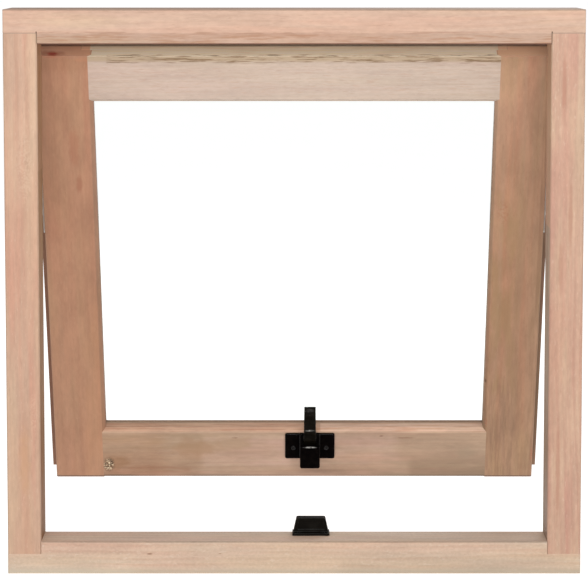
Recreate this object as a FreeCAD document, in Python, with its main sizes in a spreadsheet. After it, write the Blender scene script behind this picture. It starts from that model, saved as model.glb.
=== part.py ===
import FreeCAD, Part
import math
import os
import re

import Sketcher

# Top hung awning window, millimetres.
# The origin is on the sill's underside, mid-width and mid-depth.
# +X runs to the right as seen from the room, +Y points outdoors, +Z is up.

SIZES = [
    ("frameWidth", 610.0, "outside width of the frame"),
    ("frameHeight", 600.0, "outside height of the frame"),
    ("frameDepth", 100.0, "depth of jambs and head, room side to outdoors"),
    ("jambFace", 35.5, "face width of a jamb, stop included"),
    ("rebateWall", 18.5, "jamb thickness beside the sash"),
    ("headBoard", 24.4, "thickness of the head above the sash"),
    ("headStop", 12.0, "stop below the head, between the jambs"),
    ("sillBoard", 21.4, "thickness of the sill under the jambs"),
    ("sillStop", 13.3, "stop above the sill, between the jambs"),
    ("stopDepth", 52.0, "depth of the stops from the room side"),
    ("sillNose", 18.0, "sill projection past the jambs, outdoors"),
    ("sillFall", 7.0, "fall of the sill's weathered top over its length"),
    ("dripWidth", 4.0, "width of the drip groove under the sill"),
    ("dripDepth", 3.5, "depth of the drip grooves"),
    ("dripInset", 6.0, "drip groove to the outer edge"),
    ("arris", 1.2, "small bevel on the room side edges"),
    ("faceGap", 6.4, "closed sash to the back of the stops"),
    ("sideGap", 11.1, "sash stile to the jamb wall, room for the stay"),
    ("topGap", 6.8, "sash to the head"),
    ("bottomGap", 9.4, "sash to the sill under the closed sash"),
    ("sashThickness", 38.0, "thickness of the sash"),
    ("lipProjection", 6.0, "outer lip of a stile past its body"),
    ("lipThickness", 13.0, "thickness of the outer lip"),
    ("lipTopRelief", 12.0, "lip cut short below the sash top, for the stay"),
    ("stileWidth", 58.5, "stile, body edge to glass opening"),
    ("topRailHeight", 55.3, "top rail, sash top to glass opening"),
    ("bottomRailHeight", 65.4, "bottom rail, sash bottom to glass opening"),
    ("moulding", 4.0, "bevel round the glass opening, room side"),
    ("glassSetback", 15.0, "room face of the sash to the glass"),
    ("glassRebate", 12.0, "width of the glazing rebate"),
    ("glassThickness", 4.0, "float glass"),
    ("glassClearance", 2.0, "glass edge to the rebate"),
    ("beadInset", 6.0, "bead set back from the sash's outer face"),
    ("beadSlope", 8.7, "bead narrowed by its sloping face"),
    ("pivotDrop", 6.0, "sash top to the shoe pivot"),
    ("pivotInset", 12.5, "room face of the sash to the shoe pivot"),
    ("armLength", 90.0, "stay arm, pivot to pivot"),
    ("openAngle", 23.0, "sash opening at rest, degrees"),
    ("trackWidth", 14.0, "width of the stay track"),
    ("trackDepth", 4.6, "height of the stay track off the jamb"),
    ("trackWall", 1.2, "sheet thickness of the track"),
    ("trackSlot", 6.8, "opening between the track's lips"),
    ("trackFoot", 16.0, "track below its fixed pivot"),
    ("trackHeadroom", 11.0, "track above the shoe pivot, sash closed"),
    ("armWidth", 10.0, "width of the arm and the sash bar"),
    ("armThickness", 2.0, "sheet thickness of the arm"),
    ("armLift", 0.4, "arm to the track's lips"),
    ("barThickness", 2.0, "sheet thickness of the sash bar"),
    ("barTail", 30.0, "sash bar below the closed arm's fixed pivot"),
    ("rivetRadius", 2.5, "radius of the stay rivets"),
    ("rivetPlay", 0.1, "radial play round a rivet"),
    ("washerRadius", 4.3, "radius of the stay washers and rivet heads"),
    ("shoeLength", 20.0, "length of the sliding shoe"),
    ("shoePlay", 0.3, "shoe to the track all round"),
    ("catchOffset", 18.0, "catch and keeper to the right of the middle"),
    ("plateWidth", 57.0, "catch plate, end to end"),
    ("plateHeight", 33.3, "height of the catch plate"),
    ("plateBase", 27.0, "catch plate above the sash's bottom edge"),
    ("plateThickness", 2.6, "thickness of the catch plate"),
    ("plateCorner", 2.2, "corner radius of the catch plate"),
    ("caseWidth", 22.8, "width of the catch case"),
    ("caseBase", 27.9, "case's underside above the sash's bottom edge"),
    ("caseHeight", 32.6, "height of the case at the plate"),
    ("caseDepth", 26.0, "projection of the case off the sash"),
    ("caseTopFall", 3.0, "fall of the case's top towards its front"),
    ("caseCorner", 2.4, "radius of the case's lower corners"),
    ("caseFrontCorner", 1.6, "edge radius round the case's front"),
    ("leverWidth", 14.0, "width of the lever at its foot"),
    ("leverTopWidth", 13.0, "width of the lever at its tip"),
    ("leverThickness", 4.0, "thickness of the lever's blade"),
    ("leverHub", 5.0, "radius of the lever's hub"),
    ("leverHeel", 4.5, "lever's foot, each side of its pin"),
    ("leverStandoff", 13.0, "lever pin off the sash's face"),
    ("leverDrop", 8.0, "lever pin below the case's top"),
    ("leverBend", 8.0, "bend of the lever above the case's top"),
    ("leverRise", 45.6, "lever tip above the case's top"),
    ("leverCurl", 4.5, "thumb tip curled towards the room"),
    ("leverCurlLength", 13.5, "length of the curled tip"),
    ("leverTipEdge", 1.3, "thickness of the thumb tip's edge"),
    ("leverBendRadius", 12.0, "radius of the lever's bends"),
    ("leverPlay", 0.6, "lever to the slot's cheeks"),
    ("caseLip", 4.0, "case's front wall before the lever's slot"),
    ("pinRadius", 1.75, "radius of the lever's pin"),
    ("keeperWidth", 40.0, "keeper's base plate and the foot of its box"),
    ("keeperStep", 0.6, "base plate past the foot of its box, each side"),
    ("keeperTopWidth", 31.0, "keeper's box at its top"),
    ("keeperHeight", 17.5, "height of the keeper"),
    ("keeperDepth", 22.5, "depth of the keeper's base plate"),
    ("keeperFlange", 10.0, "base plate in front of the box"),
    ("keeperBase", 2.5, "thickness of the base plate"),
    ("keeperWall", 2.4, "thickness of the box's walls"),
    ("keeperPanel", 0.8, "depth of the panel sunk in the box's front"),
    ("keeperCorner", 2.0, "radius of the box's top corners"),
]

doc = FreeCAD.newDocument("AwningWindow")
sheet = doc.addObject("Spreadsheet::Sheet", "Sizes")
for row, (alias, number, note) in enumerate(SIZES, start=1):
    sheet.set("A%d" % row, note)
    sheet.set("B%d" % row, str(number))
    sheet.setAlias("B%d" % row, alias)
doc.recompute()

ALIASES = re.compile(r"\b(%s)\b" % "|".join(alias for alias, number, note in SIZES))
parts = []


def bound(text):
    """An expression on the sheet's sizes, written with their bare names."""
    return ALIASES.sub(r"Sizes.\1", text)


def value(text):
    return float(sheet.evalExpression(bound(text)))


def side_of(sign, text):
    """The same distance to the right (+1) or to the left (-1)."""
    return text if sign > 0 else "-(%s)" % text


# Places that several pieces share, as expressions on the sizes.
SASH_WIDTH = "(frameWidth - 2 * rebateWall - 2 * sideGap)"
SASH_HEIGHT = "(frameHeight - headBoard - sillBoard - topGap - bottomGap)"
GLASS_WIDTH = "(frameWidth - 2 * rebateWall - 2 * sideGap - 2 * stileWidth)"
WALL_X = "(frameWidth / 2 - rebateWall)"
ROOM_Y = "(-frameDepth / 2)"
STOP_Y = "(stopDepth - frameDepth / 2)"
PIVOT_Y = "(stopDepth - frameDepth / 2 + faceGap + pivotInset)"
FIXED_Z = "(frameHeight - headBoard - topGap - pivotDrop - 2 * armLength)"
SHOE_Z = "(frameHeight - headBoard - topGap - pivotDrop - 2 * armLength * (1 - cos(openAngle)))"

# The sash's own frame has its origin on the shoe pivots, with the sash upright.
SASH_TOP = "pivotDrop"
SASH_BOTTOM = "(pivotDrop - %s)" % SASH_HEIGHT
SASH_ROOM = "(-pivotInset)"
SASH_OUT = "(sashThickness - pivotInset)"
GLASS_TOP = "(pivotDrop - topRailHeight)"
GLASS_BOTTOM = "(pivotDrop - %s + bottomRailHeight)" % SASH_HEIGHT
GLASS_FACE = "(glassSetback - pivotInset)"
GLASS_BACK = "(glassSetback + glassThickness - pivotInset)"
BEAD_OUT = "(sashThickness - beadInset - pivotInset)"


def body(label, place=None, angle=None):
    """A body whose place and turn about X are bound to the sheet."""
    made = doc.addObject("PartDesign::Body", label)
    made.Label = label
    turn = value(angle) if angle else 0.0
    made.Placement = FreeCAD.Placement(
        FreeCAD.Vector(), FreeCAD.Rotation(FreeCAD.Vector(1, 0, 0), turn)
    )
    for axis, text in zip("xyz", place or ()):
        made.setExpression("Placement.Base." + axis, bound(text))
    if angle:
        made.setExpression("Placement.Rotation.Angle", bound(angle))
    parts.append(made)
    return made


def sash_body(label):
    return body(label, ("0", PIVOT_Y, SHOE_Z), "openAngle")


def sketch(owner, name, role, offset="0"):
    """A sketch on one of the body's origin planes, moved along its normal."""
    made = owner.newObject("Sketcher::SketchObject", owner.Name + "_" + name)
    plane = [item for item in owner.Origin.OriginFeatures if item.Role == role][0]
    made.AttachmentSupport = [(plane, "")]
    made.MapMode = "FlatFace"
    made.setExpression("AttachmentOffset.Base.z", bound(offset))
    return made


def pin_point(drawn, geometry, end, place):
    """Bind one point of a sketch to the sheet in both directions."""
    for kind, text in zip(("DistanceX", "DistanceY"), place):
        index = drawn.addConstraint(
            Sketcher.Constraint(kind, -1, 1, geometry, end, value(text))
        )
        drawn.setExpression("Constraints[%d]" % index, bound(text))


def polygon(drawn, corners):
    """A closed outline of straight edges."""
    points = [FreeCAD.Vector(value(across), value(along), 0) for across, along in corners]
    first = drawn.GeometryCount
    count = len(points)
    for index in range(count):
        edge = Part.LineSegment(points[index], points[(index + 1) % count])
        drawn.addGeometry(edge, False)
    for index in range(count):
        following = first + (index + 1) % count
        drawn.addConstraint(
            Sketcher.Constraint("Coincident", first + index, 2, following, 1)
        )
    for index, corner in enumerate(corners):
        pin_point(drawn, first + index, 1, corner)


def circle(drawn, centre, radius):
    middle = FreeCAD.Vector(value(centre[0]), value(centre[1]), 0)
    number = drawn.addGeometry(
        Part.Circle(middle, FreeCAD.Vector(0, 0, 1), value(radius)), False
    )
    pin_point(drawn, number, 3, centre)
    size = drawn.addConstraint(Sketcher.Constraint("Radius", number, value(radius)))
    drawn.setExpression("Constraints[%d]" % size, bound(radius))


def link_outline(drawn, low, high, radius):
    """A flat bar along the sketch's vertical axis with round ends."""
    low_z = value(low)
    high_z = value(high)
    half = value(radius)
    normal = FreeCAD.Vector(0, 0, 1)
    top = drawn.addGeometry(
        Part.ArcOfCircle(Part.Circle(FreeCAD.Vector(0, high_z, 0), normal, half), 0, math.pi),
        False,
    )
    foot = drawn.addGeometry(
        Part.ArcOfCircle(
            Part.Circle(FreeCAD.Vector(0, low_z, 0), normal, half), math.pi, 2 * math.pi
        ),
        False,
    )
    left = drawn.addGeometry(
        Part.LineSegment(FreeCAD.Vector(-half, high_z, 0), FreeCAD.Vector(-half, low_z, 0)),
        False,
    )
    right = drawn.addGeometry(
        Part.LineSegment(FreeCAD.Vector(half, low_z, 0), FreeCAD.Vector(half, high_z, 0)),
        False,
    )
    for one, one_end, other, other_end in (
        (top, 2, left, 1),
        (left, 2, foot, 1),
        (foot, 2, right, 1),
        (right, 2, top, 1),
    ):
        drawn.addConstraint(Sketcher.Constraint("Tangent", one, one_end, other, other_end))
    pin_point(drawn, top, 3, ("0", high))
    pin_point(drawn, foot, 3, ("0", low))
    size = drawn.addConstraint(Sketcher.Constraint("Radius", top, half))
    drawn.setExpression("Constraints[%d]" % size, bound(radius))


def pad(owner, drawn, length, centred=False, backwards=False):
    made = owner.newObject("PartDesign::Pad", drawn.Name + "_pad")
    made.Profile = drawn
    made.Midplane = centred
    made.Reversed = backwards
    made.setExpression("Length", bound(length))
    return made


def pocket(owner, drawn, length, centred=True, backwards=False):
    """A cut whose volume is checked, because one that misses shows no error."""
    doc.recompute()
    before = owner.Shape.Volume
    made = owner.newObject("PartDesign::Pocket", drawn.Name + "_pocket")
    made.Profile = drawn
    made.Midplane = centred
    made.Reversed = backwards
    made.setExpression("Length", bound(length))
    doc.recompute()
    if not owner.Shape.Volume < before:
        raise RuntimeError(drawn.Name + " cuts nothing")
    return made


def along(edge, axis):
    """Whether an edge is straight and runs along an axis of its body."""
    if not isinstance(edge.Curve, Part.Line):
        return False
    return abs(getattr(edge.Curve.Direction, axis)) > 0.999


def round_edges(owner, radius, chosen):
    """A fillet on the edges of the body so far that pass a test."""
    doc.recompute()
    base = owner.Tip
    names = [
        "Edge%d" % number
        for number, edge in enumerate(base.Shape.Edges, start=1)
        if chosen(edge)
    ]
    made = owner.newObject("PartDesign::Fillet", base.Name + "_rounding")
    made.Base = (base, names)
    made.setExpression("Radius", bound(radius))
    return made


# Frame: the head and the sill run through, and the jambs stand between them.


def make_head():
    head = body("head")
    board = sketch(head, "board", "YZ_Plane")
    polygon(
        board,
        [
            (ROOM_Y, "frameHeight - headBoard"),
            ("frameDepth / 2", "frameHeight - headBoard"),
            ("frameDepth / 2", "frameHeight"),
            (ROOM_Y + " + arris", "frameHeight"),
            (ROOM_Y, "frameHeight - arris"),
        ],
    )
    pad(head, board, "frameWidth", centred=True)
    stop = sketch(head, "stop", "YZ_Plane")
    polygon(
        stop,
        [
            (ROOM_Y, "frameHeight - headBoard"),
            (ROOM_Y, "frameHeight - headBoard - headStop + arris"),
            (ROOM_Y + " + arris", "frameHeight - headBoard - headStop"),
            (STOP_Y, "frameHeight - headBoard - headStop"),
            (STOP_Y, "frameHeight - headBoard"),
        ],
    )
    pad(head, stop, "frameWidth - 2 * jambFace", centred=True)


# The sill's weathered top starts behind the stop and falls to the nose.
SILL_EDGE = "(frameDepth / 2 + sillNose)"


def make_sill():
    sill = body("sill")
    board = sketch(sill, "board", "YZ_Plane")
    polygon(
        board,
        [
            (ROOM_Y, "arris"),
            (ROOM_Y + " + arris", "0"),
            (SILL_EDGE + " - dripInset - dripWidth", "0"),
            (SILL_EDGE + " - dripInset - dripWidth", "dripDepth"),
            (SILL_EDGE + " - dripInset", "dripDepth"),
            (SILL_EDGE + " - dripInset", "0"),
            (SILL_EDGE, "0"),
            (SILL_EDGE, "sillBoard - sillFall"),
            (STOP_Y, "sillBoard"),
            (ROOM_Y, "sillBoard"),
        ],
    )
    pad(sill, board, "frameWidth", centred=True)
    stop = sketch(sill, "stop", "YZ_Plane")
    polygon(
        stop,
        [
            (ROOM_Y, "sillBoard"),
            (STOP_Y, "sillBoard"),
            (STOP_Y, "sillBoard + sillStop"),
            (ROOM_Y + " + arris", "sillBoard + sillStop"),
            (ROOM_Y, "sillBoard + sillStop - arris"),
        ],
    )
    pad(sill, stop, "frameWidth - 2 * jambFace", centred=True)


def make_jamb(name, sign):
    jamb = body(name)
    outer = side_of(sign, "(frameWidth / 2)")
    outer_bevel = side_of(sign, "(frameWidth / 2 - arris)")
    wall = side_of(sign, WALL_X)
    stop = side_of(sign, "(frameWidth / 2 - jambFace)")
    stop_bevel = side_of(sign, "(frameWidth / 2 - jambFace + arris)")
    section = sketch(jamb, "section", "XY_Plane", "sillBoard - sillFall")
    polygon(
        section,
        [
            (outer, ROOM_Y + " + arris"),
            (outer_bevel, ROOM_Y),
            (stop_bevel, ROOM_Y),
            (stop, ROOM_Y + " + arris"),
            (stop, STOP_Y),
            (wall, STOP_Y),
            (wall, "frameDepth / 2"),
            (outer, "frameDepth / 2"),
        ],
    )
    pad(jamb, section, "frameHeight - headBoard - sillBoard + sillFall")
    # The foot is scribed to the sill: level under the stop, sloping behind it.
    foot = sketch(jamb, "foot", "YZ_Plane")
    polygon(
        foot,
        [
            (ROOM_Y + " - arris", "sillBoard"),
            (STOP_Y, "sillBoard"),
            (SILL_EDGE, "sillBoard - sillFall"),
            (SILL_EDGE, "-arris"),
            (ROOM_Y + " - arris", "-arris"),
        ],
    )
    pocket(jamb, foot, "2 * frameWidth")


# Sash: the stiles run through, and the rails are coped over their bevel and rebate.


def make_stile(name, sign):
    stile = sash_body(name)
    half = SASH_WIDTH + " / 2"
    edge = side_of(sign, "(%s)" % half)
    lip = side_of(sign, "(%s + lipProjection)" % half)
    inner = "(%s - stileWidth)" % half
    section = sketch(stile, "section", "XY_Plane", SASH_BOTTOM)
    polygon(
        section,
        [
            (edge, SASH_ROOM + " + arris"),
            (side_of(sign, "(%s - arris)" % half), SASH_ROOM),
            (side_of(sign, "(%s + moulding)" % inner), SASH_ROOM),
            (side_of(sign, inner), SASH_ROOM + " + moulding"),
            (side_of(sign, inner), GLASS_FACE),
            (side_of(sign, "(%s + glassRebate)" % inner), GLASS_FACE),
            (side_of(sign, "(%s + glassRebate)" % inner), SASH_OUT),
            (lip, SASH_OUT),
            (lip, SASH_OUT + " - lipThickness"),
            (edge, SASH_OUT + " - lipThickness"),
        ],
    )
    pad(stile, section, SASH_HEIGHT)
    relief = sketch(stile, "relief", "XY_Plane", SASH_TOP + " - lipTopRelief")
    polygon(
        relief,
        [
            (edge, SASH_OUT + " - lipThickness - arris"),
            (side_of(sign, "(%s + 2 * lipProjection)" % half), SASH_OUT + " - lipThickness - arris"),
            (side_of(sign, "(%s + 2 * lipProjection)" % half), SASH_OUT + " + arris"),
            (edge, SASH_OUT + " + arris"),
        ],
    )
    pocket(stile, relief, "2 * lipTopRelief", centred=False, backwards=True)


def cope_ends(rail):
    """Shape both ends of a rail to the stiles' bevel and glazing rebate."""
    half = "(%s / 2)" % GLASS_WIDTH
    ends = sketch(rail, "cope", "XY_Plane")
    for sign in (1, -1):
        polygon(
            ends,
            [
                (side_of(sign, "(%s + 2 * moulding)" % half), SASH_ROOM + " - moulding"),
                (side_of(sign, half), SASH_ROOM + " + moulding"),
                (side_of(sign, half), GLASS_FACE),
                (side_of(sign, "(%s + 2 * glassRebate)" % half), GLASS_FACE),
                (side_of(sign, "(%s + 2 * glassRebate)" % half), SASH_ROOM + " - moulding"),
            ],
        )
    pocket(rail, ends, "4 * frameHeight")


def make_top_rail():
    rail = sash_body("top_rail")
    section = sketch(rail, "section", "YZ_Plane")
    polygon(
        section,
        [
            (SASH_ROOM, SASH_TOP),
            (SASH_ROOM, GLASS_TOP + " + moulding"),
            (SASH_ROOM + " + moulding", GLASS_TOP),
            (GLASS_FACE, GLASS_TOP),
            (GLASS_FACE, GLASS_TOP + " + glassRebate"),
            (SASH_OUT, GLASS_TOP + " + glassRebate"),
            (SASH_OUT, SASH_TOP),
        ],
    )
    pad(rail, section, GLASS_WIDTH + " + 2 * glassRebate", centred=True)
    cope_ends(rail)


def make_bottom_rail():
    rail = sash_body("bottom_rail")
    section = sketch(rail, "section", "YZ_Plane")
    polygon(
        section,
        [
            (SASH_ROOM, SASH_BOTTOM + " + arris"),
            (SASH_ROOM, GLASS_BOTTOM + " - moulding"),
            (SASH_ROOM + " + moulding", GLASS_BOTTOM),
            (GLASS_FACE, GLASS_BOTTOM),
            (GLASS_FACE, GLASS_BOTTOM + " - glassRebate"),
            (SASH_OUT, GLASS_BOTTOM + " - glassRebate"),
            (SASH_OUT, SASH_BOTTOM),
            (SASH_OUT + " - dripInset", SASH_BOTTOM),
            (SASH_OUT + " - dripInset", SASH_BOTTOM + " + dripDepth"),
            (SASH_OUT + " - dripInset - dripWidth", SASH_BOTTOM + " + dripDepth"),
            (SASH_OUT + " - dripInset - dripWidth", SASH_BOTTOM),
            (SASH_ROOM + " + arris", SASH_BOTTOM),
        ],
    )
    pad(rail, section, GLASS_WIDTH + " + 2 * glassRebate", centred=True)
    cope_ends(rail)


def make_glass():
    glass = sash_body("glass_pane")
    half = "(%s / 2 + glassRebate - glassClearance)" % GLASS_WIDTH
    base = GLASS_BOTTOM + " - glassRebate + glassClearance"
    section = sketch(glass, "section", "XY_Plane", base)
    polygon(
        section,
        [
            ("-" + half, GLASS_FACE),
            (half, GLASS_FACE),
            (half, GLASS_BACK),
            ("-" + half, GLASS_BACK),
        ],
    )
    reach = "2 * (glassRebate - glassClearance)"
    pad(glass, section, "%s - %s + %s" % (GLASS_TOP, GLASS_BOTTOM, reach))


def bead_section(drawn, wall, toward, swapped):
    """A bead's section: wide against the glass, narrower outdoors."""
    corners = [
        (wall, GLASS_BACK),
        ("%s %s glassRebate" % (wall, toward), GLASS_BACK),
        ("%s %s (glassRebate - beadSlope)" % (wall, toward), BEAD_OUT),
        (wall, BEAD_OUT),
    ]
    polygon(drawn, [(along, across) if swapped else (across, along) for across, along in corners])


def make_beads():
    """Four beads in the rebate: two run through, two stand between them."""
    width = GLASS_WIDTH + " + 2 * glassRebate"
    for name, wall, toward in (
        ("top_bead", GLASS_TOP + " + glassRebate", "-"),
        ("bottom_bead", GLASS_BOTTOM + " - glassRebate", "+"),
    ):
        bead = sash_body(name)
        section = sketch(bead, "section", "YZ_Plane")
        bead_section(section, wall, toward, swapped=True)
        pad(bead, section, width, centred=True)
    for name, sign in (("left_bead", -1), ("right_bead", 1)):
        bead = sash_body(name)
        section = sketch(bead, "section", "XY_Plane", GLASS_BOTTOM)
        wall = side_of(sign, "(%s / 2 + glassRebate)" % GLASS_WIDTH)
        bead_section(section, wall, "-" if sign > 0 else "+", swapped=False)
        pad(bead, section, "%s - %s" % (GLASS_TOP, GLASS_BOTTOM))


# Friction stays: in each side gap a track on the jamb, a shoe that slides in it,
# a bar on the stile and an arm that makes the shoe fall as the sash swings out.

LIP_X = "(frameWidth / 2 - rebateWall - trackDepth)"
ARM_X = "(frameWidth / 2 - rebateWall - trackDepth - armLift)"
BAR_X = "(%s / 2 + barThickness)" % SASH_WIDTH


def disc(owner, name, sign, start, end, radius, centre=("0", "0")):
    """A round boss along X between two distances from the middle plane."""
    drawn = sketch(owner, name, "YZ_Plane", side_of(sign, "(%s)" % start))
    circle(drawn, centre, radius)
    return pad(owner, drawn, "%s - %s" % (end, start), backwards=sign < 0)


def make_track(name, sign):
    track = body(name, ("0", PIVOT_Y, FIXED_Z))
    half = "trackWidth / 2"
    slot = "trackSlot / 2"
    wall = side_of(sign, WALL_X)
    inner = side_of(sign, "(%s - trackWall)" % WALL_X)
    lip_back = side_of(sign, "(%s + trackWall)" % LIP_X)
    lip = side_of(sign, LIP_X)
    section = sketch(track, "section", "XY_Plane", "-trackFoot")
    polygon(
        section,
        [
            (wall, "-" + half),
            (lip, "-" + half),
            (lip, "-" + slot),
            (lip_back, "-" + slot),
            (lip_back, "-%s + trackWall" % half),
            (inner, "-%s + trackWall" % half),
            (inner, half + " - trackWall"),
            (lip_back, half + " - trackWall"),
            (lip_back, slot),
            (lip, slot),
            (lip, half),
            (wall, half),
        ],
    )
    pad(track, section, "trackFoot + 2 * armLength + trackHeadroom")
    head_back = "(%s - armThickness - 3 * rivetPlay)" % ARM_X
    head_front = "(%s - trackWall)" % head_back
    disc(track, "rivet", sign, head_front, WALL_X, "rivetRadius")
    disc(track, "rivet_head", sign, head_front, head_back, "washerRadius")


def make_arm(name, sign):
    arm = body(name, ("0", PIVOT_Y, FIXED_Z), "-openAngle")
    start = "(%s - armThickness)" % ARM_X
    drawn = sketch(arm, "outline", "YZ_Plane", side_of(sign, start))
    link_outline(drawn, "0", "armLength", "armWidth / 2")
    circle(drawn, ("0", "0"), "rivetRadius + rivetPlay")
    circle(drawn, ("0", "armLength"), "rivetRadius + rivetPlay")
    pad(arm, drawn, "armThickness", backwards=sign < 0)


def make_sash_bar(name, sign):
    bar = sash_body(name)
    start = "(%s - barThickness)" % BAR_X
    drawn = sketch(bar, "outline", "YZ_Plane", side_of(sign, start))
    link_outline(drawn, "-2 * armLength - barTail", "0", "armWidth / 2")
    pad(bar, drawn, "barThickness", backwards=sign < 0)
    arm_back = "(%s - armThickness)" % ARM_X
    knee = ("0", "-armLength")
    washer_end = "(%s - 3 * rivetPlay)" % arm_back
    bar_front = "(%s - barThickness)" % BAR_X
    disc(bar, "arm_washer", sign, bar_front, washer_end, "washerRadius", knee)
    disc(bar, "arm_rivet", sign, bar_front, "(%s - 2 * rivetPlay)" % ARM_X, "rivetRadius", knee)
    shoe_front = "(%s - armLift - armThickness)" % LIP_X
    disc(bar, "shoe_washer", sign, bar_front, shoe_front + " - shoePlay", "washerRadius")
    rivet_end = "(%s - trackWall - 2 * shoePlay)" % WALL_X
    disc(bar, "shoe_rivet", sign, bar_front, rivet_end, "rivetRadius")


def make_shoe(name, sign):
    """An H shaped slider that holds the track's lips between its two plates."""
    shoe = body(name, ("0", PIVOT_Y, SHOE_Z))
    back = side_of(sign, "(%s - trackWall - shoePlay)" % WALL_X)
    back_front = side_of(sign, "(%s + trackWall + shoePlay)" % LIP_X)
    cover_back = side_of(sign, "(%s - armLift)" % LIP_X)
    cover_front = side_of(sign, "(%s - armLift - armThickness)" % LIP_X)
    wide = "(trackWidth / 2 - trackWall - shoePlay)"
    neck = "(trackSlot / 2 - shoePlay)"
    section = sketch(shoe, "section", "XY_Plane", "-shoeLength / 2")
    polygon(
        section,
        [
            (back, "-" + wide),
            (back_front, "-" + wide),
            (back_front, "-" + neck),
            (cover_back, "-" + neck),
            (cover_back, "-" + wide),
            (cover_front, "-" + wide),
            (cover_front, wide),
            (cover_back, wide),
            (cover_back, neck),
            (back_front, neck),
            (back_front, wide),
            (back, wide),
        ],
    )
    pad(shoe, section, "shoeLength")
    hole = sketch(shoe, "hole", "YZ_Plane", side_of(sign, WALL_X))
    circle(hole, ("0", "0"), "rivetRadius + rivetPlay")
    pocket(shoe, hole, "4 * sideGap")


# Catch on the bottom rail: a plate and case cast in one, a lever and its pin.

PIN_Y = "(-pivotInset - leverStandoff)"
CASE_FOOT = "(%s + caseBase)" % SASH_BOTTOM
CASE_TOP = "(%s + caseBase + caseHeight)" % SASH_BOTTOM
PIN_Z = "(%s + caseBase + caseHeight - leverDrop)" % SASH_BOTTOM
CASE_FRONT = "(-pivotInset - caseDepth)"


def catch_body(label):
    return body(label, ("catchOffset", PIVOT_Y, SHOE_Z), "openAngle")


def make_catch():
    case = catch_body("catch_case")
    plate = sketch(case, "plate", "XZ_Plane", "pivotInset")
    low = "(%s + plateBase)" % SASH_BOTTOM
    high = "(%s + plateBase + plateHeight)" % SASH_BOTTOM
    polygon(
        plate,
        [
            ("-plateWidth / 2", low),
            ("plateWidth / 2", low),
            ("plateWidth / 2", high),
            ("-plateWidth / 2", high),
        ],
    )
    pad(case, plate, "plateThickness")
    round_edges(case, "plateCorner", lambda edge: along(edge, "y"))
    block = sketch(case, "block", "YZ_Plane")
    polygon(
        block,
        [
            (SASH_ROOM, CASE_FOOT),
            (SASH_ROOM, CASE_TOP),
            (CASE_FRONT, CASE_TOP + " - caseTopFall"),
            (CASE_FRONT, CASE_FOOT),
        ],
    )
    pad(case, block, "caseWidth", centred=True)
    foot = value(CASE_FOOT)
    round_edges(
        case,
        "caseCorner",
        lambda edge: along(edge, "y") and abs(edge.CenterOfMass.z - foot) < 0.01,
    )
    front = value(CASE_FRONT)
    round_edges(case, "caseFrontCorner", lambda edge: abs(edge.CenterOfMass.y - front) < 0.01)
    slot = sketch(case, "slot", "YZ_Plane")
    polygon(
        slot,
        [
            (PIN_Y + " + leverHub + leverPlay", PIN_Z + " - leverHub - leverPlay"),
            (PIN_Y + " + leverHub + leverPlay", CASE_TOP + " + leverDrop"),
            (CASE_FRONT + " + caseLip", CASE_TOP + " + leverDrop"),
            (CASE_FRONT + " + caseLip", CASE_TOP + " - leverDrop"),
            (PIN_Y + " - leverHub - leverPlay", PIN_Z + " - leverHub - leverPlay"),
        ],
    )
    pocket(case, slot, "leverWidth + 2 * leverPlay")
    bore = sketch(case, "bore", "YZ_Plane")
    circle(bore, (PIN_Y, PIN_Z), "pinRadius")
    pocket(case, bore, "2 * caseWidth")


def make_lever():
    """A hub on the pin and a blade that bends upright and curls at its tip."""
    lever = catch_body("catch_lever")
    tip = "(%s + leverRise)" % CASE_TOP
    back = PIN_Y + " + leverThickness / 2"
    face = PIN_Y + " - leverThickness / 2"
    blade = sketch(lever, "blade", "YZ_Plane")
    polygon(
        blade,
        [
            (PIN_Y + " - leverHeel", PIN_Z),
            (PIN_Y + " + leverHeel", PIN_Z),
            (back, CASE_TOP + " + leverBend / 2"),
            (back, tip + " - leverCurlLength"),
            (PIN_Y + " - leverCurl + leverTipEdge", tip),
            (PIN_Y + " - leverCurl", tip),
            (PIN_Y + " - leverCurl", tip + " - leverTipEdge"),
            (face, tip + " - leverCurlLength"),
            (face, CASE_TOP + " + leverBend"),
            (PIN_Y + " - leverHeel", CASE_TOP),
        ],
    )
    pad(lever, blade, "leverWidth", centred=True)
    bends = [value(tip + " - leverCurlLength"), value(CASE_TOP + " + leverBend")]
    round_edges(
        lever,
        "leverBendRadius",
        lambda edge: along(edge, "x") and min(abs(edge.CenterOfMass.z - z) for z in bends) < 0.01,
    )
    taper = sketch(lever, "taper", "XZ_Plane", "pivotInset")
    for sign in (1, -1):
        polygon(
            taper,
            [
                (side_of(sign, "(leverWidth / 2)"), CASE_TOP),
                (side_of(sign, "leverWidth"), CASE_TOP),
                (side_of(sign, "leverWidth"), tip + " + leverDrop"),
                (side_of(sign, "(leverTopWidth / 2)"), tip + " + leverDrop"),
                (side_of(sign, "(leverTopWidth / 2)"), tip),
            ],
        )
    pocket(lever, taper, "4 * caseDepth")
    hub = sketch(lever, "hub", "YZ_Plane")
    circle(hub, (PIN_Y, PIN_Z), "leverHub")
    pad(lever, hub, "leverWidth", centred=True)
    bore = sketch(lever, "bore", "YZ_Plane")
    circle(bore, (PIN_Y, PIN_Z), "pinRadius + rivetPlay")
    pocket(lever, bore, "2 * leverWidth")
    pin = catch_body("catch_pin")
    round_bar = sketch(pin, "round", "YZ_Plane")
    circle(round_bar, (PIN_Y, PIN_Z), "pinRadius")
    pad(pin, round_bar, "caseWidth", centred=True)


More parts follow.
